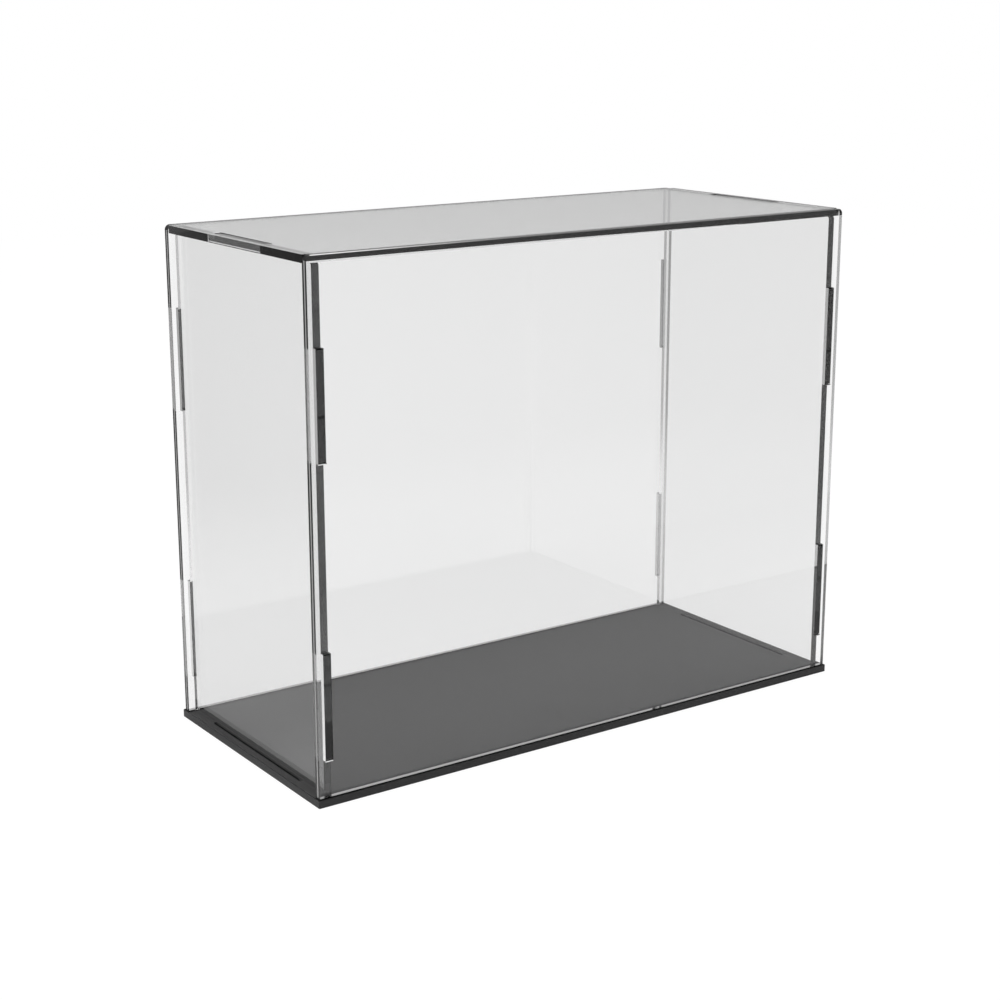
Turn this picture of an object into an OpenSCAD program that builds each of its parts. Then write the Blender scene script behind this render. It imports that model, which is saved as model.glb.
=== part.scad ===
// Flat-pack display box: five clear sheets that plug together and a dark base sheet they stand on.
// Units are millimetres, +Z is up, and the origin is the middle of the base's underside.

/* [Overall size] */
// Width across the clear walls
box_w = 250; // [160:1:500]
// Depth across the clear walls
box_d = 110; // [90:1:400]
// Height from the base's underside to the top's upper face
box_h = 200; // [150:1:500]

/* [Sheets] */
// Thickness of the clear sheets
sheet_t = 3; // [2:0.1:6]
// Thickness of the base sheet
base_t = 3; // [2:0.1:8]
// How far the base stands out past the walls all round
base_lip = 0.8; // [0:0.1:6]
// From a wall's end to the outer face of a side panel
side_inset = 2.8; // [2:0.1:12]

/* [Wall tenons] */
// Length of the side panels' tenons in the front and back panels
wall_tenon_l = 40; // [15:0.5:45]
// From the base's underside to the lower end of the low tenons
low_tenon_z = 17.5; // [14:0.5:30]
// From the top's upper face to the upper end of the high tenons
high_tenon_drop = 32.5; // [14:0.5:45]

/* [Top and base tenons] */
// Length of each side panel's tenon in the top
top_tenon_l = 40; // [15:0.5:60]
// Length of each side panel's tenon in the base
base_tenon_l = 70; // [20:0.5:72]

/* [Fits] */
// Gap beside a tenon in its slot in a clear sheet
joint_play = 0.1; // [0.05:0.05:0.5]
// Gap at each end of a tenon in its slot
end_play = 0.3; // [0.05:0.05:1]
// Gap beside a tenon in the base, where the cover lifts off
base_play = 0.4; // [0.05:0.05:1]
// Gap between the top's long edges and the front and back panels
top_gap = 0.1; // [0.05:0.05:0.5]
// How far a tenon's end lies below the face it comes through to
tenon_recess = 0.1; // [0:0.05:0.5]

/* [Corners] */
// Radius of the front and back panels' upper corners; the lower ones are square
wall_corner_r = 2; // [0.5:0.1:8]
// Corner radius of the side panels
side_corner_r = 1; // [0.5:0.1:8]
// Corner radius of the base and the top
flat_corner_r = 0.4; // [0.2:0.1:8]
// Corner radius of the tenons
tenon_corner_r = 0.4; // [0.2:0.1:4]

/* [Hidden] */
$fn = 64;

// Sheet colours
clear = [0.84, 0.86, 0.87, 0.35];
dark = [0.09, 0.09, 0.095];

// Inside depth, from the front panel's inner face to the back panel's
inner_d = box_d - 2 * sheet_t;
// Underside of the top, where the side panels end
top_z = box_h - sheet_t;
// Heights of the side panels' and of the front and back panels' own outlines
side_h = top_z - base_t;
wall_h = box_h - base_t;
// Middle of a side panel's thickness, out from the middle of the box
side_x = box_w / 2 - side_inset - sheet_t / 2;
// Middle heights of the low and high wall tenons
tenon_zs = [low_tenon_z + wall_tenon_l / 2, box_h - high_tenon_drop - wall_tenon_l / 2];
// How far the tenons reach out of a side panel
wall_reach = sheet_t - tenon_recess;
base_reach = base_t - tenon_recess;
// Over-cut that carries a slot clear through its sheet
through = 1;

// Rectangle about its centre with round corners
module round_rect(size, r) {
    square([size.x - 2 * r, size.y], center = true);
    square([size.x, size.y - 2 * r], center = true);
    for (sx = [-1, 1], sy = [-1, 1])
        translate([sx * (size.x / 2 - r), sy * (size.y / 2 - r)]) circle(r);
}

// Flat tenon outline: length along X, standing out along +Y from an edge at Y = 0
module tenon_outline(length, reach) {
    root = 2 * tenon_corner_r;
    translate([0, (reach - root) / 2]) round_rect([length, reach + root], tenon_corner_r);
}

// Slot through a lying sheet for a tenon that runs along Y, from z = 0 up to the sheet's thickness
module slot_along_y(length, play, thickness) {
    translate([0, 0, thickness / 2])
        cube([sheet_t + 2 * play, length + 2 * end_play, thickness + 2 * through], center = true);
}

// Side panel's outline in its own plane: X runs from front to back and Y is the height
module side_outline() {
    translate([0, base_t + side_h / 2]) round_rect([inner_d, side_h], side_corner_r);
    translate([0, top_z]) tenon_outline(top_tenon_l, wall_reach);
    translate([0, base_t]) mirror([0, 1]) tenon_outline(base_tenon_l, base_reach);
    for (z = tenon_zs) {
        translate([inner_d / 2, z]) rotate(-90) tenon_outline(wall_tenon_l, wall_reach);
        translate([-inner_d / 2, z]) rotate(90) tenon_outline(wall_tenon_l, wall_reach);
    }
}

// Side panel, on the left for side = -1 and on the right for side = 1
module side_panel(side) {
    translate([side * side_x - sheet_t / 2, 0, 0])
        rotate([90, 0, 90]) linear_extrude(sheet_t) side_outline();
}

// Front and back panels' outline in their own plane: round above and square below, Y is the height
module wall_outline() {
    translate([0, base_t + wall_h / 2]) round_rect([box_w, wall_h], wall_corner_r);
    translate([0, base_t + wall_h / 4]) square([box_w, wall_h / 2], center = true);
}

// Upright wall that takes the side panels' tenons, from its inner face at Y = 0 out to Y = -sheet_t
module slotted_wall() {
    difference() {
        rotate([90, 0, 0]) linear_extrude(sheet_t) wall_outline();
        for (side = [-1, 1], z = tenon_zs)
            translate([side * side_x, -sheet_t / 2, z])
                cube([sheet_t + 2 * joint_play, sheet_t + 2 * through, wall_tenon_l + 2 * end_play],
                     center = true);
    }
}

// Base sheet with a long slot for each side panel
module base_plate() {
    color(dark) difference() {
        linear_extrude(base_t) round_rect([box_w + 2 * base_lip, box_d + 2 * base_lip], flat_corner_r);
        for (side = [-1, 1])
            translate([side * side_x, 0, 0]) slot_along_y(base_tenon_l, base_play, base_t);
    }
}

module left_panel() {
    color(clear) side_panel(-1);
}

module right_panel() {
    color(clear) side_panel(1);
}

module front_panel() {
    color(clear) translate([0, -inner_d / 2, 0]) slotted_wall();
}

module back_panel() {
    color(clear) mirror([0, 1, 0]) translate([0, -inner_d / 2, 0]) slotted_wall();
}

// Top sheet, let in between the front and back panels
module top_panel() {
    color(clear) translate([0, 0, top_z]) difference() {
        linear_extrude(sheet_t) round_rect([box_w, inner_d - 2 * top_gap], flat_corner_r);
        for (side = [-1, 1])
            translate([side * side_x, 0, 0]) slot_along_y(top_tenon_l, joint_play, sheet_t);
    }
}

base_plate();
left_panel();
right_panel();
front_panel();
back_panel();
top_panel();
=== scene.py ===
"""Looks of a flat-pack display box.

Five clear acrylic sheets plug together over a dark satin base sheet.
"""

import logging
import math
from dataclasses import dataclass, field
from enum import Enum, IntEnum
from typing import Any, Callable, Iterator, Sequence

import bmesh
import bpy
from mathutils import Matrix, Vector


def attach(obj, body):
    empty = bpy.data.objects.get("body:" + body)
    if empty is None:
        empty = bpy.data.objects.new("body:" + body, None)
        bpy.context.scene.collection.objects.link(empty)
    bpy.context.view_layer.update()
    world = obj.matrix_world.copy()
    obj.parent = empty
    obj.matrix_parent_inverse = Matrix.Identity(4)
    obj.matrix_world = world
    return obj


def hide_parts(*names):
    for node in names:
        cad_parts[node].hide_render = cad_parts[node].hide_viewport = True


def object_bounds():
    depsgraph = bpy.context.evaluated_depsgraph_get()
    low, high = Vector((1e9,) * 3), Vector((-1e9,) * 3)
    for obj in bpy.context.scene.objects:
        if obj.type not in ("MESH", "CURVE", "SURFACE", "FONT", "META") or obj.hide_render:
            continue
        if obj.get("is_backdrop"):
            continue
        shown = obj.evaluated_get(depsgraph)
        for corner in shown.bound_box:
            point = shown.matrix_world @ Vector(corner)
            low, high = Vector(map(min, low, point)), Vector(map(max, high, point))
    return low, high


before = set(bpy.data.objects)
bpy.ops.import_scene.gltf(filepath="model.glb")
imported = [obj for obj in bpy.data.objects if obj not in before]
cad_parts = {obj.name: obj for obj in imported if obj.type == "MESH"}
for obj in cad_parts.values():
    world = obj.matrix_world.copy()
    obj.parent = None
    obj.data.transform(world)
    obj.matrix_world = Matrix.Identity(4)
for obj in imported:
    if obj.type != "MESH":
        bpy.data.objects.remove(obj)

CAD_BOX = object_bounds()
MM = 0.001
LOG = logging.getLogger("display_box")

# Lengths in metres below which two places are the same
TINY = 1e-7
# Cosines that sort faces by where they look: broad faces, edges with the first facets of their
# corners, facets that aren't turned into a corner, and faces that look mostly one way
BROAD_ON = 0.999
EDGE_ON = 0.99
UNTURNED = 0.995
MOSTLY = 0.5

Colour = tuple[float, float, float, float]
Point2 = tuple[float, float]
Span = tuple[float, float]


def grey(level: float) -> Colour:
    """An opaque grey."""
    return (level, level, level, 1.0)


BLACK = grey(0.0)
WHITE = grey(1.0)


class Wire:
    """One node output that takes part in shader expressions."""

    def __init__(self, bench: "NodeBench", socket: Any) -> None:
        """Keeps the output and the bench that adds nodes after it."""
        self.bench = bench
        self.socket = socket

    def _math(self, operation: str, first: Any, second: Any) -> "Wire":
        """Adds one Math node to the bench, on two values or wires."""
        return self.bench.add("ShaderNodeMath", {"operation": operation}, {0: first, 1: second})

    def __add__(self, other: Any) -> "Wire":
        """Sum."""
        return self._math("ADD", self, other)

    def __radd__(self, other: Any) -> "Wire":
        """Sum with the number first."""
        return self._math("ADD", other, self)

    def __sub__(self, other: Any) -> "Wire":
        """Difference."""
        return self._math("SUBTRACT", self, other)

    def __rsub__(self, other: Any) -> "Wire":
        """Difference with the number first."""
        return self._math("SUBTRACT", other, self)

    def __mul__(self, other: Any) -> "Wire":
        """Product."""
        return self._math("MULTIPLY", self, other)

    def __rmul__(self, other: Any) -> "Wire":
        """Product with the number first."""
        return self._math("MULTIPLY", other, self)

    def at_least(self, other: Any) -> "Wire":
        """The larger of two values."""
        return self._math("MAXIMUM", self, other)

    def over(self, other: Any) -> "Wire":
        """1 where the value is above the other, and 0 elsewhere."""
        return self._math("GREATER_THAN", self, other)


@dataclass(frozen=True)
class Pattern:
    """One noise pattern: cells to the metre, octaves and how strong the finer ones are."""

    scale: float
    detail: float
    rough: float


class NodeBench:
    """Adds nodes to one node tree."""

    def __init__(self, tree: bpy.types.NodeTree) -> None:
        """Empties the tree and keeps it."""
        self.tree = tree
        tree.nodes.clear()

    def add(
        self,
        kind: str,
        settings: dict[str, Any] | None = None,
        inputs: dict[Any, Any] | None = None,
        output: Any = 0,
    ) -> Wire:
        """Adds one node.

        Args:
            kind: the node's type.
            settings: its properties, set before its inputs.
            inputs: values or wires by socket name or number.
            output: the name or number of the output to hand back.

        Returns:
            That output as a wire.
        """
        node = self.tree.nodes.new(kind)
        for name, value in (settings or {}).items():
            setattr(node, name, value)
        for key, value in (inputs or {}).items():
            if isinstance(value, Wire):
                self.tree.links.new(value.socket, node.inputs[key])
            else:
                node.inputs[key].default_value = value
        return Wire(self, node.outputs[output] if node.outputs else None)

    def place(self) -> Wire:
        """Object coordinates, in metres."""
        return self.add("ShaderNodeTexCoord", output="Object")

    def along(self, at: Wire, axis: str) -> Wire:
        """One axis of some coordinates."""
        return self.add("ShaderNodeSeparateXYZ", inputs={0: at}, output=axis)

    def noise(self, at: Wire, pattern: Pattern) -> Wire:
        """Noise from 0 to 1.

        Args:
            at: the coordinates.
            pattern: the noise's size and fineness.

        Returns:
            The noise's value.
        """
        return self.add(
            "ShaderNodeTexNoise",
            inputs={
                "Vector": at,
                "Scale": pattern.scale,
                "Detail": pattern.detail,
                "Roughness": pattern.rough,
            },
        )

    def blend(self, share: Any, first: Any, second: Any) -> Wire:
        """A colour between two colours, at a share from 0 to 1."""
        return self.add("ShaderNodeMix", {"data_type": "RGBA"}, {0: share, 6: first, 7: second}, 2)

    def mix(self, share: Any, first: Wire, second: Wire) -> Wire:
        """A shader between two shaders, at a share from 0 to 1."""
        return self.add("ShaderNodeMixShader", inputs={0: share, 1: first, 2: second})

    def step(self, value: Wire, low: float, high: float) -> Wire:
        """Rises smoothly from 0 to 1.

        Args:
            value: the value that rises.
            low: the value up to which the result is 0.
            high: the value from which it is 1.

        Returns:
            The smooth step.
        """
        return self.add(
            "ShaderNodeMapRange",
            {"interpolation_type": "SMOOTHSTEP"},
            {"Value": value, "From Min": low, "From Max": high, "To Min": 0.0, "To Max": 1.0},
        )

    def path(self, question: str) -> Wire:
        """One answer of the Light Path node."""
        return self.add("ShaderNodeLightPath", output=question)

    def mirrored(self, times: int) -> Wire:
        """1 for rays that have been mirrored so many times or more."""
        return self.path("Glossy Depth").over(times - 0.5)

    def straight_sight(self) -> Wire:
        """1 for the eye's own rays, also through clear sheets, and 0 once they have mirrored."""
        through = self.path("Is Transmission Ray") * (1 - self.mirrored(1))
        return self.path("Is Camera Ray").at_least(through)


def new_material(name: str) -> tuple[bpy.types.Material, NodeBench]:
    """Makes an empty material.

    Args:
        name: the material's name.

    Returns:
        The material and the bench that adds its nodes.
    """
    material = bpy.data.materials.new(name)
    material.use_nodes = True
    return material, NodeBench(material.node_tree)


@dataclass(frozen=True)
class ClearFinish:
    """What the surfaces of a clear acrylic sheet share."""

    index: float = 1.49
    smoke: Colour = BLACK
    smoke_per_m: float = 22.5
    passed: Colour = grey(0.9)

    def _close(self, bench: NodeBench, body: Wire) -> None:
        """Smokes the sheet, lets shadow and diffuse rays straight through and ends its nodes.

        Args:
            bench: the material's nodes.
            body: the surface's own shader.
        """
        open_way = bench.add("ShaderNodeBsdfTransparent", inputs={"Color": self.passed})
        lit = bench.mix(bench.path("Is Diffuse Ray"), body, open_way)
        sheet = bench.mix(bench.path("Is Shadow Ray"), lit, open_way)
        smoke = bench.add(
            "ShaderNodeVolumeAbsorption", inputs={"Color": self.smoke, "Density": self.smoke_per_m}
        )
        bench.add("ShaderNodeOutputMaterial", inputs={"Surface": sheet, "Volume": smoke})


@dataclass(frozen=True)
class ClearFaceFinish(ClearFinish):
    """Polished broad face of a clear acrylic sheet."""

    name: str = "clear_acrylic_face"
    tint: Colour = WHITE
    haze_tint: Colour = (0.994, 0.995, 0.995, 1.0)
    wipes: Pattern = Pattern(26.0, 4.0, 0.55)
    most_rough: float = 0.004

    def make(self) -> bpy.types.Material:
        """Builds the material.

        Returns:
            The finished material.
        """
        material, bench = new_material(self.name)
        wiped = bench.noise(bench.place(), self.wipes)
        body = bench.add(
            "ShaderNodeBsdfPrincipled",
            inputs={
                "Base Color": bench.blend(wiped, self.tint, self.haze_tint),
                "Roughness": wiped * self.most_rough,
                "IOR": self.index,
                "Transmission Weight": 1.0,
            },
        )
        self._close(bench, body)
        return material


@dataclass(frozen=True)
class CutEdgeFinish(ClearFinish):
    """Laser-cut, polished edge of a clear acrylic sheet."""

    name: str = "clear_acrylic_cut_edge"
    # A grey tint on the cut edges, as painted shade that makes them darker than the clear faces;
    # the streaks are the cut's own texture
    tint: Colour = grey(0.66)
    streak_tint: Colour = grey(0.58)
    gleam: Colour = grey(0.7)
    passed: Colour = grey(0.7)
    streaks: Pattern = Pattern(900.0, 2.0, 0.6)
    most_rough: float = 0.02

    def make(self) -> bpy.types.Material:
        """Builds the material.

        Returns:
            The finished material.
        """
        material, bench = new_material(self.name)
        streaked = bench.noise(bench.place(), self.streaks)
        body = bench.add(
            "ShaderNodeBsdfPrincipled",
            inputs={
                "Base Color": bench.blend(streaked, self.tint, self.streak_tint),
                "Roughness": streaked * self.most_rough,
                "IOR": self.index,
                "Specular Tint": self.gleam,
                "Transmission Weight": 1.0,
            },
        )
        self._close(bench, body)
        return material


@dataclass(frozen=True)
class SatinFinish:
    """Satin plastic with a fine grain, and painted shadow under the walls where it has it."""

    name: str = "dark_satin_base"
    dark: Colour = (0.054, 0.054, 0.0545, 1.0)
    light: Colour = (0.07, 0.07, 0.0705, 1.0)
    least_rough: float = 0.42
    shine: float = 0.2
    painted_shadow: Colour = grey(0.004)
    painted_shadow_front: float = math.inf
    painted_shadow_back: float = math.inf
    grain: Pattern = Pattern(2600.0, 2.0, 0.6)
    cloud: Pattern = Pattern(22.0, 3.0, 0.5)
    grain_share: float = 0.7
    cloud_share: float = 0.3
    grain_rough: float = 0.14
    cloud_rough: float = 0.06
    bump: float = 0.25
    bump_deep: float = 0.00005

    def make(self) -> bpy.types.Material:
        """Builds the material.

        Returns:
            The finished material.
        """
        material, bench = new_material(self.name)
        at = bench.place()
        grain, cloud = bench.noise(at, self.grain), bench.noise(at, self.cloud)
        share = grain * self.grain_share + cloud * self.cloud_share
        colour = bench.blend(share, self.dark, self.light)
        # Painted shadow: near-black strips where the front and back walls stand and just inside
        # them
        if math.isfinite(self.painted_shadow_back):
            back = bench.along(at, "Y")
            under = back.over(self.painted_shadow_back) + (0 - back).over(self.painted_shadow_front)
            colour = bench.blend(under, colour, self.painted_shadow)
        bump = bench.add(
            "ShaderNodeBump",
            inputs={"Strength": self.bump, "Distance": self.bump_deep, "Height": grain},
        )
        body = bench.add(
            "ShaderNodeBsdfPrincipled",
            inputs={
                "Base Color": colour,
                "Roughness": self.least_rough + grain * self.grain_rough + cloud * self.cloud_rough,
                "Specular IOR Level": self.shine,
                "Normal": bump,
            },
        )
        bench.add("ShaderNodeOutputMaterial", inputs={"Surface": body})
        return material


@dataclass(frozen=True)
class PaintedHighlightArrisFinish:
    """Frosted arris with a painted highlight, pale at the box's left end and duller along the rest
    of its edge.
    """

    name: str = "clear_acrylic_arris_painted_highlight"
    pale: Colour = grey(0.88)
    dull: Colour = grey(0.13)
    fades: Span = (-0.14, -0.03)
    scrapes: Pattern = Pattern(700.0, 2.0, 0.6)
    uneven: float = 0.08
    least_rough: float = 0.45
    scrape_rough: float = 0.1

    def make(self) -> bpy.types.Material:
        """Builds the material.

        Returns:
            The finished material.
        """
        material, bench = new_material(self.name)
        at = bench.place()
        scraped = bench.noise(at, self.scrapes)
        # Painted highlight: pale at the left end, fading to dull grey towards the right, with some
        # uneven scraping
        share = bench.step(bench.along(at, "X"), *self.fades) + (scraped - 0.5) * self.uneven
        body = bench.add(
            "ShaderNodeBsdfPrincipled",
            inputs={
                "Base Color": bench.blend(share, self.pale, self.dull),
                "Roughness": self.least_rough + scraped * self.scrape_rough,
            },
        )
        bench.add("ShaderNodeOutputMaterial", inputs={"Surface": body})
        return material


@dataclass(frozen=True)
class PaleFloorFinish:
    """Floor that is white to the eye, and elsewhere greyer with a painted pool of light, where the
    sheets mirror it and where it lights the box.
    """

    name: str = "pale_floor"
    paper: Colour = grey(0.9)
    glow: float = 1.03
    glow_share: float = 0.9
    # Painted pool of light in the mirrored greys: the least, then far off and how much more near
    # by, before and beside the box
    least: float = 0.28
    before_far: float = 0.22
    before_more: float = 0.5
    beside_far: float = 0.12
    beside_more: float = 0.33
    # Distances in metres over which they change
    front_begins: Span = (-0.05, 0.06)
    before_fades: Span = (0.1, 0.32)
    beside_fades: Span = (0.17, 0.5)

    def make(self) -> bpy.types.Material:
        """Builds the material.

        Returns:
            The finished material.
        """
        material, bench = new_material(self.name)
        at = bench.place()
        near = bench.add("ShaderNodeVectorMath", {"operation": "LENGTH"}, {0: at}, "Value")
        ahead = 0 - bench.along(at, "Y")
        front = bench.step(ahead, *self.front_begins)
        before = self.before_far + (1 - bench.step(ahead, *self.before_fades)) * self.before_more
        beside = self.beside_far + (1 - bench.step(near, *self.beside_fades)) * self.beside_more
        # Painted pool of light on the floor's grey: lighter near the box, most of all in front of
        # it
        level = self.least + front * before + (1 - front) * beside
        shade = bench.blend(level, BLACK, WHITE)
        mirrored = bench.add("ShaderNodeBsdfDiffuse", inputs={"Color": shade})
        paper = bench.add("ShaderNodeBsdfDiffuse", inputs={"Color": self.paper})
        glow = bench.add("ShaderNodeEmission", inputs={"Color": WHITE, "Strength": self.glow})
        shown = bench.mix(self.glow_share, paper, glow)
        seen = bench.straight_sight().at_least(bench.mirrored(2))
        floor = bench.mix(seen, mirrored, shown)
        bench.add("ShaderNodeOutputMaterial", inputs={"Surface": floor})
        return material


class Lie(Enum):
    """How a sheet's own axes lie in the box: across, along and through its thickness."""

    FLAT = ((1, 0, 0), (0, 1, 0), (0, 0, 1))
    FACING = ((1, 0, 0), (0, 0, 1), (0, 1, 0))
    SIDEWAYS = ((0, 1, 0), (0, 0, 1), (1, 0, 0))

    def matrix(self, at: Sequence[float]) -> Matrix:
        """The matrix that takes a sheet to its place, with its own origin there, in metres."""
        turn = Matrix(self.value).transposed().to_4x4()
        return Matrix.Translation(Vector(at)) @ turn


class Skin(IntEnum):
    """Kinds of face, in the order of a sheet's finishes; the third is painted shade on clear
    sheets, and on the base it is the slot walls with their painted light.
    """

    BROAD = 0
    CUT = 1
    PAINTED_SHADE_AND_LIGHT = 2
    PAINTED_HIGHLIGHT_ARRIS = 3
    PAINTED_HIGHLIGHT_LINE = 4


@dataclass
class Corner:
    """One corner of a sheet's outline, in millimetres."""

    u: float
    v: float
    radius: float = 0.0


@dataclass
class Slot:
    """One rectangular slot through a sheet: its middle and its full size, in millimetres."""

    u: float
    v: float
    wide: float
    long: float

    def holds(self, point: Vector, grown: float = 0.0) -> bool:
        """Tells whether a point lies in the slot.

        Args:
            point: the point, in metres.
            grown: millimetres by which the slot counts as larger on each side.

        Returns:
            True if the point lies in it.
        """
        return (
            abs(point.x - self.u * MM) < (self.wide / 2 + grown) * MM
            and abs(point.y - self.v * MM) < (self.long / 2 + grown) * MM
        )


@dataclass
class Sheet:
    """One flat sheet with round corners, slots and eased edges, in millimetres."""

    name: str
    node: str
    body: str
    slot_name: str
    lie: Lie
    at: tuple[float, float, float]
    thickness: float
    outline: list[Corner]
    slots: list[Slot] = field(default_factory=list)
    cuts_u: list[float] = field(default_factory=list)
    cuts_v: list[float] = field(default_factory=list)
    cuts_w: list[float] = field(default_factory=list)
    special: Callable[[bmesh.types.BMFace], Skin | None] = field(default=lambda face: None)
    slot_skin: Skin = Skin.CUT
    slot_margin: float = 0.3
    scrape: float = 0.0
    arris: float = 0.0
    arris_segments: int = 2
    corner_segments: int = 8
    sharp_over: float = 35.0

    def build(self) -> bpy.types.Object:
        """Models the sheet and puts it on its body.

        Returns:
            The sheet's object, with each face's material number set by its skin.
        """
        bm = bmesh.new()
        corners = [bm.verts.new((c.u * MM, c.v * MM, 0.0)) for c in self.outline]
        bm.faces.new(corners)
        self._cut_slots(bm)
        self._round_corners(bm, corners)
        grown = bmesh.ops.extrude_face_region(bm, geom=bm.faces[:])["geom"]
        bmesh.ops.translate(
            bm,
            vec=(0.0, 0.0, self.thickness * MM),
            verts=[g for g in grown if isinstance(g, bmesh.types.BMVert)],
        )
        for w in self.cuts_w:
            self._cut(bm, (0, 0, w * MM), (0, 0, 1))
        bmesh.ops.recalc_face_normals(bm, faces=bm.faces[:])
        if self.arris > 0:
            self._ease_edges(bm)
        if self.scrape > 0:
            self._scrape_upper(bm)
        self._mark_faces(bm)
        bmesh.ops.transform(
            bm, matrix=self.lie.matrix([x * MM for x in self.at]), verts=bm.verts[:]
        )
        bmesh.ops.recalc_face_normals(bm, faces=bm.faces[:])
        mesh = bpy.data.meshes.new(self.name)
        bm.to_mesh(mesh)
        bm.free()
        piece = bpy.data.objects.new(self.name, mesh)
        bpy.context.scene.collection.objects.link(piece)
        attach(piece, self.body)
        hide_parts(self.node)
        return piece

    @staticmethod
    def _cut(bm: bmesh.types.BMesh, point: Sequence[float], normal: Sequence[float]) -> None:
        """Cuts the faces along a plane and keeps both sides."""
        bmesh.ops.bisect_plane(
            bm,
            geom=bm.verts[:] + bm.edges[:] + bm.faces[:],
            dist=TINY,
            plane_co=point,
            plane_no=normal,
        )

    @staticmethod
    def _bevel(
        bm: bmesh.types.BMesh, geom: list[Any], offset: float, segments: int, affect: str
    ) -> None:
        """Bevels edges or corners.

        Args:
            bm: the sheet's mesh.
            geom: the edges or vertices.
            offset: the bevel's size, in millimetres.
            segments: facets in the bevel.
            affect: what is bevelled, "EDGES" or "VERTICES".
        """
        bmesh.ops.bevel(
            bm,
            geom=geom,
            offset=offset * MM,
            offset_type="OFFSET",
            segments=segments,
            profile=0.5,
            affect=affect,
            material=-1,
        )

    def _cut_slots(self, bm: bmesh.types.BMesh) -> None:
        """Cuts the flat outline along the slots' sides and the other cuts and takes the slots out.

        Args:
            bm: the sheet's mesh.
        """
        sides_u = sorted({s.u + e * s.wide / 2 for s in self.slots for e in (-1, 1)})
        sides_v = sorted({s.v + e * s.long / 2 for s in self.slots for e in (-1, 1)})
        cuts = [((u * MM, 0, 0), (1, 0, 0)) for u in (*sides_u, *self.cuts_u)]
        cuts += [((0, v * MM, 0), (0, 1, 0)) for v in (*sides_v, *self.cuts_v)]
        for point, normal in cuts:
            self._cut(bm, point, normal)
        inside = [
            f for f in bm.faces if any(s.holds(f.calc_center_median()) for s in self.slots)
        ]
        if inside:
            bmesh.ops.delete(bm, geom=inside, context="FACES")

    def _round_corners(self, bm: bmesh.types.BMesh, corners: list[bmesh.types.BMVert]) -> None:
        """Rounds the outline's corners, one radius at a time.

        Args:
            bm: the sheet's mesh.
            corners: the outline's vertices, in its order.
        """
        for radius in sorted({c.radius for c in self.outline if c.radius > 0}):
            same = [v for v, c in zip(corners, self.outline) if c.radius == radius]
            self._bevel(bm, same, radius, self.corner_segments, "VERTICES")

    def _ease_edges(self, bm: bmesh.types.BMesh) -> None:
        """Takes the sharp arris off the upper broad face."""
        rims = [e for e in bm.edges if sum(f.normal.z > EDGE_ON for f in e.link_faces) == 1]
        self._bevel(bm, rims, self.arris, self.arris_segments, "EDGES")

    def _scrape_upper(self, bm: bmesh.types.BMesh) -> None:
        """Breaks the near arris of the upper edge.

        Args:
            bm: the sheet's mesh.
        """
        rim = [
            e
            for e in bm.edges
            if any(f.normal.y > EDGE_ON for f in e.link_faces)
            and any(abs(f.normal.z) > EDGE_ON for f in e.link_faces)
            and all(abs(v.co.z) < TINY for v in e.verts)
        ]
        self._bevel(bm, rim, self.scrape, 1, "EDGES")

    def _skin(self, face: bmesh.types.BMFace) -> Skin:
        """Sorts one face.

        Args:
            face: the face, before the sheet goes to its place.

        Returns:
            The kind of face that it is.
        """
        special = self.special(face)
        if special is not None:
            return special
        if abs(face.normal.z) > BROAD_ON:
            return Skin.BROAD
        if self.scrape > 0 and face.normal.y > MOSTLY and abs(face.normal.z) > MOSTLY:
            return Skin.PAINTED_HIGHLIGHT_ARRIS
        middle = face.calc_center_median()
        in_slot = any(s.holds(middle, self.slot_margin) for s in self.slots)
        return self.slot_skin if in_slot else Skin.CUT

    def _mark_faces(self, bm: bmesh.types.BMesh) -> None:
        """Sets the shading and the material number of every face.

        Args:
            bm: the sheet's mesh.
        """
        bm.normal_update()
        for f in bm.faces:
            f.material_index = self._skin(f)
            f.smooth = abs(f.normal.z) <= BROAD_ON
        for e in bm.edges:
            e.smooth = e.calc_face_angle(0.0) < math.radians(self.sharp_over)

    @staticmethod
    def dress(piece: bpy.types.Object, finishes: Sequence[bpy.types.Material]) -> None:
        """Gives a sheet its finishes, in the order of its skins."""
        for finish in finishes:
            piece.data.materials.append(finish)


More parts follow.
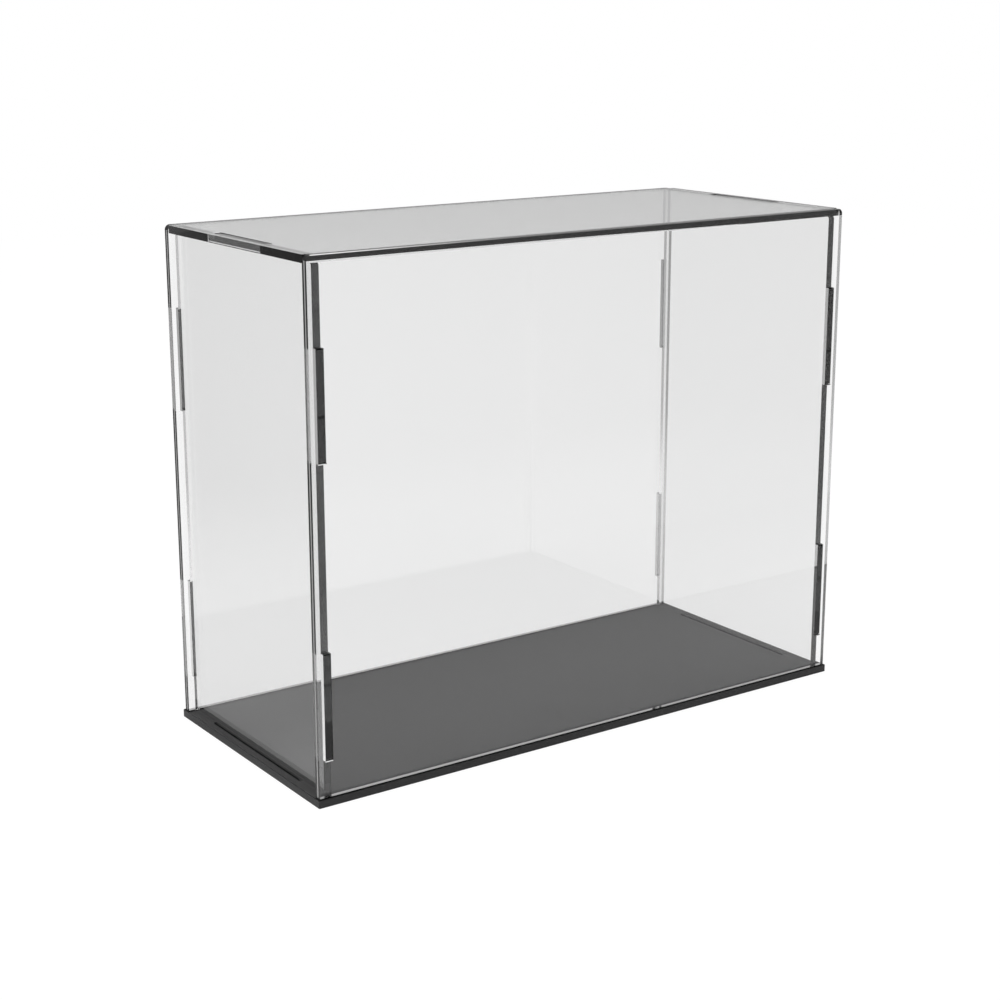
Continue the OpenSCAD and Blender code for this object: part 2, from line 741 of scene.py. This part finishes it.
@dataclass
class BoxSizes:
    """Sizes that the sheets share, in millimetres."""

    wide: float = 250.0
    deep: float = 110.0
    high: float = 200.0
    sheet: float = 3.0
    base: float = 3.0
    lip: float = 0.8
    inset: float = 2.8
    wall_tenon: float = 40.0
    low_tenon: float = 17.5
    high_drop: float = 32.5
    top_tenon: float = 40.0
    base_tenon: float = 70.0
    play: float = 0.1
    end_play: float = 0.3
    base_play: float = 0.4
    top_gap: float = 0.1
    recess: float = 0.1
    wall_corner: float = 2.0
    side_corner: float = 1.0
    flat_corner: float = 0.4
    tenon_corner: float = 0.4
    # Air round the side panels, how deep they sink in the base and how far the walls stay above it
    air: float = 0.05
    sunk: float = 0.02
    lift: float = 0.3
    # Height above the base of the side panels' foot line of painted shade, and how far it ends
    # inside the tenon
    foot: float = 0.3
    foot_end: float = 0.5
    # Arris that carries a painted highlight, painted highlight line down the walls' left ends and
    # clear strip low on the top's front edge
    scrape: float = 0.26
    painted_highlight_line: float = 0.7
    clear_rim: float = 0.65
    # How far above the base a wall's slots begin at the least
    slot_rise: float = 1.0

    @property
    def inner_deep(self) -> float:
        """Depth between the front and back panels."""
        return self.deep - 2 * self.sheet

    @property
    def under_top(self) -> float:
        """Height of the top's underside."""
        return self.high - self.sheet

    @property
    def side_middle(self) -> float:
        """Middle of a side panel's thickness, out from the box's middle."""
        return self.wide / 2 - self.inset - self.sheet / 2

    @property
    def tenon_middles(self) -> tuple[float, float]:
        """Middle heights of the wall tenons."""
        half = self.wall_tenon / 2
        return self.low_tenon + half, self.high - self.high_drop - half

    @staticmethod
    def rectangle(
        wide: float, low: float, high: float, upper: float, lower: float
    ) -> list[Corner]:
        """A rectangle's corners.

        Args:
            wide: full size across.
            low: where it begins along.
            high: where it ends along.
            upper: radius of the two corners at its end.
            lower: radius of the two corners at its beginning.

        Returns:
            The four corners, in order round the outline.
        """
        half = wide / 2
        return [
            Corner(-half, low, lower),
            Corner(half, low, lower),
            Corner(half, high, upper),
            Corner(-half, high, upper),
        ]

    def lying(self, wide: float, deep: float) -> list[Corner]:
        """The corners of a lying sheet about the box's middle."""
        return self.rectangle(wide, -deep / 2, deep / 2, self.flat_corner, self.flat_corner)

    def side_slots(self, tenon: float, play: float) -> list[Slot]:
        """A lying sheet's two slots for the side panels' tenons, with some play beside them."""
        size = self.sheet + 2 * play, tenon + 2 * self.end_play
        return [Slot(side * self.side_middle, 0.0, *size) for side in (-1, 1)]


@dataclass
class BaseSheet:
    """The dark sheet under the box."""

    sizes: BoxSizes
    # Painted shadow: near-black strips on the top face under the front and back walls
    face: SatinFinish = SatinFinish(painted_shadow_front=0.0522, painted_shadow_back=0.0508)
    # The base's cut edges are painted darker than its top face, as painted shade of its sides
    edge: SatinFinish = SatinFinish(
        name="dark_base_cut_edge_painted_shade",
        dark=(0.01, 0.01, 0.0102, 1.0),
        light=(0.018, 0.018, 0.0182, 1.0),
        least_rough=0.12,
        shine=0.3,
    )
    # The slot walls are painted lighter than the rest of the base, as painted light inside the
    # slots
    slot: SatinFinish = SatinFinish(
        name="base_slot_wall_painted_light",
        dark=(0.13, 0.13, 0.1305, 1.0),
        light=(0.16, 0.16, 0.1605, 1.0),
        shine=0.1,
    )
    arris: float = 0.2

    def build(self) -> Iterator[bpy.types.Object]:
        """Models and dresses the base sheet.

        Yields:
            The base sheet's object.
        """
        s = self.sizes
        sheet = Sheet(
            name="satin_base_sheet",
            node="base_plate",
            body="base",
            slot_name="dark_base",
            lie=Lie.FLAT,
            at=(0.0, 0.0, 0.0),
            thickness=s.base,
            outline=s.lying(s.wide + 2 * s.lip, s.deep + 2 * s.lip),
            slots=s.side_slots(s.base_tenon, s.base_play),
            slot_skin=Skin.PAINTED_SHADE_AND_LIGHT,
            arris=self.arris,
        )
        piece = sheet.build()
        sheet.dress(piece, [f.make() for f in (self.face, self.edge, self.slot)])
        yield piece


@dataclass
class ClearCover:
    """The five clear sheets that plug together over the base."""

    sizes: BoxSizes
    face: ClearFaceFinish = ClearFaceFinish()
    edge: CutEdgeFinish = CutEdgeFinish()
    # Near-black opaque finish, painted shade on clear faces where the sheets look dark
    dark: SatinFinish = SatinFinish(
        name="clear_acrylic_painted_shade",
        dark=(0.006, 0.006, 0.0062, 1.0),
        light=(0.014, 0.014, 0.0142, 1.0),
        least_rough=0.2,
    )
    # Frosted arris on the front panel's upper edge, with a painted highlight fading to the right
    arris: PaintedHighlightArrisFinish = PaintedHighlightArrisFinish()
    # Painted highlight: a light line down the middle of the walls' left ends
    line: SatinFinish = SatinFinish(
        name="clear_acrylic_cut_line", dark=grey(0.32), light=grey(0.44), shine=0.3
    )
    top_face: ClearFaceFinish = ClearFaceFinish(name="clear_acrylic_top_face", smoke_per_m=0.5)
    top_edge: CutEdgeFinish = CutEdgeFinish(
        name="clear_acrylic_top_edge",
        tint=grey(0.98),
        streak_tint=grey(0.95),
        gleam=grey(0.2),
        smoke_per_m=0.5,
    )

    def build(self) -> Iterator[bpy.types.Object]:
        """Models and dresses the clear sheets.

        Yields:
            Each clear sheet's object.
        """
        finishes = [f.make() for f in (self.face, self.edge, self.dark, self.arris, self.line)]
        for sheet in (*self._sides(), *self._walls()):
            piece = sheet.build()
            sheet.dress(piece, finishes)
            yield piece
        top = self._top()
        piece = top.build()
        top.dress(piece, [self.top_face.make(), self.top_edge.make(), finishes[Skin.PAINTED_SHADE_AND_LIGHT]])
        yield piece

    def _sides(self) -> list[Sheet]:
        """Plans the side panels.

        Returns:
            The left and the right panel, with tenons on all four edges.
        """
        s = self.sizes
        return [
            Sheet(
                name=f"clear_{word}_sheet",
                node=f"{word}_panel",
                body="cover",
                slot_name="clear_acrylic",
                lie=Lie.SIDEWAYS,
                at=(side * s.side_middle - s.sheet / 2, 0.0, 0.0),
                thickness=s.sheet,
                outline=self._side_outline(),
                cuts_u=[end * (s.base_tenon / 2 - s.foot_end) for end in (-1, 1)],
                cuts_v=[s.base + s.foot],
                special=self._side_special,
            )
            for word, side in (("left", -1), ("right", 1))
        ]

    def _walls(self) -> list[Sheet]:
        """Plans the front and back panels.

        Returns:
            Both panels, with two slots near each end.
        """
        s = self.sizes
        slots = [
            Slot(side * s.side_middle, z, s.sheet + 2 * s.play, s.wall_tenon + 2 * s.end_play)
            for side in (-1, 1)
            for z in s.tenon_middles
        ]
        places = (("front", -s.deep / 2, s.scrape), ("back", s.inner_deep / 2, 0.0))
        return [
            Sheet(
                name=f"clear_{word}_sheet",
                node=f"{word}_panel",
                body=word,
                slot_name="clear_acrylic",
                lie=Lie.FACING,
                at=(0.0, y, 0.0),
                thickness=s.sheet,
                outline=s.rectangle(s.wide, s.base + s.lift, s.high, s.wall_corner, 0.0),
                slots=slots,
                cuts_w=[(s.sheet + side * s.painted_highlight_line) / 2 for side in (-1, 1)],
                special=self._wall_special,
                scrape=scrape,
            )
            for word, y, scrape in places
        ]

    def _top(self) -> Sheet:
        """Plans the top.

        Returns:
            The top sheet, let in between the front and back panels.
        """
        s = self.sizes
        return Sheet(
            name="clear_top_sheet",
            node="top_panel",
            body="top",
            slot_name="clear_acrylic",
            lie=Lie.FLAT,
            at=(0.0, 0.0, s.under_top),
            thickness=s.sheet,
            outline=s.lying(s.wide, s.inner_deep - 2 * s.top_gap),
            slots=s.side_slots(s.top_tenon, s.play),
            cuts_w=[s.clear_rim],
            special=self._top_special,
        )

    def _side_special(self, face: bmesh.types.BMFace) -> Skin | None:
        """Finds the faces of a side panel that carry painted shade.

        Args:
            face: a face of the panel, in its own axes.

        Returns:
            Painted shade for its foot line in the base, the edges it stands on and its wall tenons'
            ends.
        """
        middle, s = face.calc_center_bounds(), self.sizes
        low = middle.y < s.base * MM and abs(middle.x) < s.base_tenon / 2 * MM + TINY
        foot = low and (middle.z < TINY or abs(face.normal.x) > MOSTLY)
        rest = face.normal.y < -MOSTLY and abs(middle.y - (s.base - s.sunk) * MM) < TINY
        tenon_end = abs(face.normal.y) > MOSTLY and abs(middle.x) > s.inner_deep / 2 * MM
        return Skin.PAINTED_SHADE_AND_LIGHT if foot or rest or tenon_end else None

    def _wall_special(self, face: bmesh.types.BMFace) -> Skin | None:
        """Finds the faces of a front or back panel that carry painted shade, and its painted
        highlight line.

        Args:
            face: a face of the panel, in its own axes.

        Returns:
            Painted shade for its round upper corners and its slots' ends, or the painted highlight
            line down its left end.
        """
        middle, s = face.calc_center_bounds(), self.sizes
        far, high = (s.wide / 2 - s.wall_corner) * MM, (s.high - s.wall_corner) * MM
        corner = abs(middle.x) > far and middle.y > high
        slot_end = abs(face.normal.y) > MOSTLY and (s.base + s.slot_rise) * MM < middle.y < high
        if abs(face.normal.z) < MOSTLY and (corner or slot_end):
            return Skin.PAINTED_SHADE_AND_LIGHT
        mid = abs(middle.z - s.sheet / 2 * MM) < s.painted_highlight_line / 4 * MM
        return Skin.PAINTED_HIGHLIGHT_LINE if mid and face.normal.x < -MOSTLY and middle.x < -far else None

    def _top_special(self, face: bmesh.types.BMFace) -> Skin | None:
        """Finds the faces of the top that carry painted shade.

        Args:
            face: a face of the top, in its own axes.

        Returns:
            Painted shade for its right end and right slot, most of its front edge and its round
            corners.
        """
        middle, s = face.calc_center_bounds(), self.sizes
        right = abs(face.normal.x) > MOSTLY and middle.x > (s.side_middle - s.sheet) * MM
        front = middle.y < (s.sheet - s.inner_deep) / 2 * MM and middle.z > s.clear_rim * MM
        corner = max(abs(face.normal.x), abs(face.normal.y)) < UNTURNED
        upright = abs(face.normal.z) < MOSTLY
        return Skin.PAINTED_SHADE_AND_LIGHT if upright and (right or front or corner) else None

    def _side_outline(self) -> list[Corner]:
        """A side panel's outline from front to back and base to top, with its tenons.

        Returns:
            The corners, in order round the outline.
        """
        s = self.sizes
        half, low, high = s.inner_deep / 2 - s.air, s.base - s.sunk, s.under_top - s.air
        reach, down = s.sheet - s.recess + s.air, s.base - s.sunk - s.recess
        rises = [(z - s.wall_tenon / 2, z + s.wall_tenon / 2) for z in s.tenon_middles]
        out = [Corner(-half, low, s.side_corner)]
        out += self._tenon((-s.base_tenon / 2, low), (s.base_tenon / 2, low), (0, -down))
        out.append(Corner(half, low, s.side_corner))
        for z0, z1 in rises:
            out += self._tenon((half, z0), (half, z1), (reach, 0))
        out.append(Corner(half, high, s.side_corner))
        out += self._tenon((s.top_tenon / 2, high), (-s.top_tenon / 2, high), (0, reach))
        out.append(Corner(-half, high, s.side_corner))
        for z0, z1 in reversed(rises):
            out += self._tenon((-half, z1), (-half, z0), (-reach, 0))
        return out

    def _tenon(self, start: Point2, end: Point2, reach: Point2) -> list[Corner]:
        """One tenon's corners.

        Args:
            start: where its root begins on the edge.
            end: where its root ends.
            reach: how far it stands out.

        Returns:
            The two root corners with the two round outer corners between them.
        """
        r = self.sizes.tenon_corner
        return [
            Corner(*start),
            Corner(start[0] + reach[0], start[1] + reach[1], r),
            Corner(end[0] + reach[0], end[1] + reach[1], r),
            Corner(*end),
        ]


@dataclass
class Studio:
    """Floor, soft light, white surroundings and the photograph's camera."""

    azimuth: float = 34.7473
    elevation: float = 14.1464
    roll: float = -0.095
    distance: float = 0.76511
    target: tuple[float, float, float] = (-0.01012, 0.0, 0.09623)
    focal_px: float = 1886.29
    image_px: float = 1000.0
    offset_px: Point2 = (-5.7048, -25.5195)
    sensor: float = 36.0
    clip: Span = (0.05, 50.0)
    floor: PaleFloorFinish = PaleFloorFinish()
    floor_half: float = 1.6
    room_level: float = 0.49
    sky_level: float = 0.75
    lamp_power: float = 14.0
    lamp_size: float = 1.4
    lamp_at: tuple[float, float, float] = (-0.5, -0.7, 1.5)
    bounces: int = 40

    def build(self) -> None:
        """Makes the floor, the surroundings, the lamp and the camera."""
        scene = bpy.context.scene
        scene.view_settings.view_transform = "Standard"
        scene.cycles.max_bounces = self.bounces
        scene.cycles.glossy_bounces = self.bounces
        scene.cycles.transmission_bounces = self.bounces
        scene.cycles.transparent_max_bounces = self.bounces
        self._floor()
        self._surroundings()
        self._lamp()
        self._camera()

    def _floor(self) -> None:
        """Lays a plain pale floor that keeps a faint shadow."""
        bm = bmesh.new()
        bmesh.ops.create_grid(bm, x_segments=1, y_segments=1, size=self.floor_half)
        mesh = bpy.data.meshes.new("floor")
        bm.to_mesh(mesh)
        bm.free()
        mesh.materials.append(self.floor.make())
        floor = bpy.data.objects.new("floor", mesh)
        bpy.context.scene.collection.objects.link(floor)
        floor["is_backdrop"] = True

    def _surroundings(self) -> None:
        """Lights the room softly and shows it white to the eye and through the sheets."""
        world = bpy.data.worlds.new("studio")
        world.use_nodes = True
        bpy.context.scene.world = world
        bench = NodeBench(world.node_tree)
        # Rays that a sheet mirrors again and again inside itself find a dark room
        mirrored = bench.blend(bench.mirrored(2), WHITE, BLACK)
        levels = ((WHITE, 1.0), (WHITE, self.sky_level), (mirrored, self.room_level))
        white, soft, room = (
            bench.add("ShaderNodeBackground", inputs={"Color": colour, "Strength": level})
            for colour, level in levels
        )
        unseen = bench.mix(bench.path("Is Glossy Ray"), soft, room)
        both = bench.mix(bench.straight_sight(), unseen, white)
        bench.add("ShaderNodeOutputWorld", inputs={"Surface": both})

    def _lamp(self) -> None:
        """Hangs one large soft lamp above the front left."""
        data = bpy.data.lights.new("softbox", "AREA")
        data.shape = "RECTANGLE"
        data.size = data.size_y = self.lamp_size
        data.energy = self.lamp_power
        lamp = bpy.data.objects.new("softbox", data)
        lamp.location = self.lamp_at
        aim = Vector(self.target) - lamp.location
        lamp.rotation_euler = aim.to_track_quat("-Z", "Y").to_euler()
        bpy.context.scene.collection.objects.link(lamp)

    def _camera(self) -> None:
        """Puts the camera where the photograph was taken from."""
        az, el, roll = (math.radians(x) for x in (self.azimuth, self.elevation, self.roll))
        back = Vector((-math.sin(az) * math.cos(el), -math.cos(az) * math.cos(el), math.sin(el)))
        level = (-back).cross(Vector((0, 0, 1))).normalized()
        rise = level.cross(-back).normalized()
        right = level * math.cos(roll) + rise * math.sin(roll)
        up = rise * math.cos(roll) - level * math.sin(roll)
        data = bpy.data.cameras.new("camera")
        data.sensor_fit = "AUTO"
        data.sensor_width = self.sensor
        data.lens = self.focal_px * self.sensor / self.image_px
        data.shift_x = -self.offset_px[0] / self.image_px
        data.shift_y = self.offset_px[1] / self.image_px
        data.clip_start, data.clip_end = self.clip
        camera = bpy.data.objects.new("camera", data)
        turn = Matrix((right, up, back)).transposed().to_4x4()
        camera.matrix_world = Matrix.Translation(Vector(self.target) + back * self.distance) @ turn
        bpy.context.scene.collection.objects.link(camera)
        bpy.context.scene.camera = camera


def write_sizes() -> None:
    """Lists the CAD box and the visual model's box as plain numbers, and does nothing with them."""
    boxes = {"cad": CAD_BOX, "visual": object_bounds()}
    {k: [list(low), list(high)] for k, (low, high) in boxes.items()}


def main() -> None:
    """Builds the studio, the base and the cover, in that order."""
    logging.basicConfig(level=logging.INFO, format="%(name)s: %(message)s")
    Studio().build()
    sizes = BoxSizes()
    for assembly in (BaseSheet(sizes), ClearCover(sizes)):
        for piece in assembly.build():
            LOG.info("%s has %d faces", piece.name, len(piece.data.polygons))
    write_sizes()


if __name__ == "__main__":
    main()
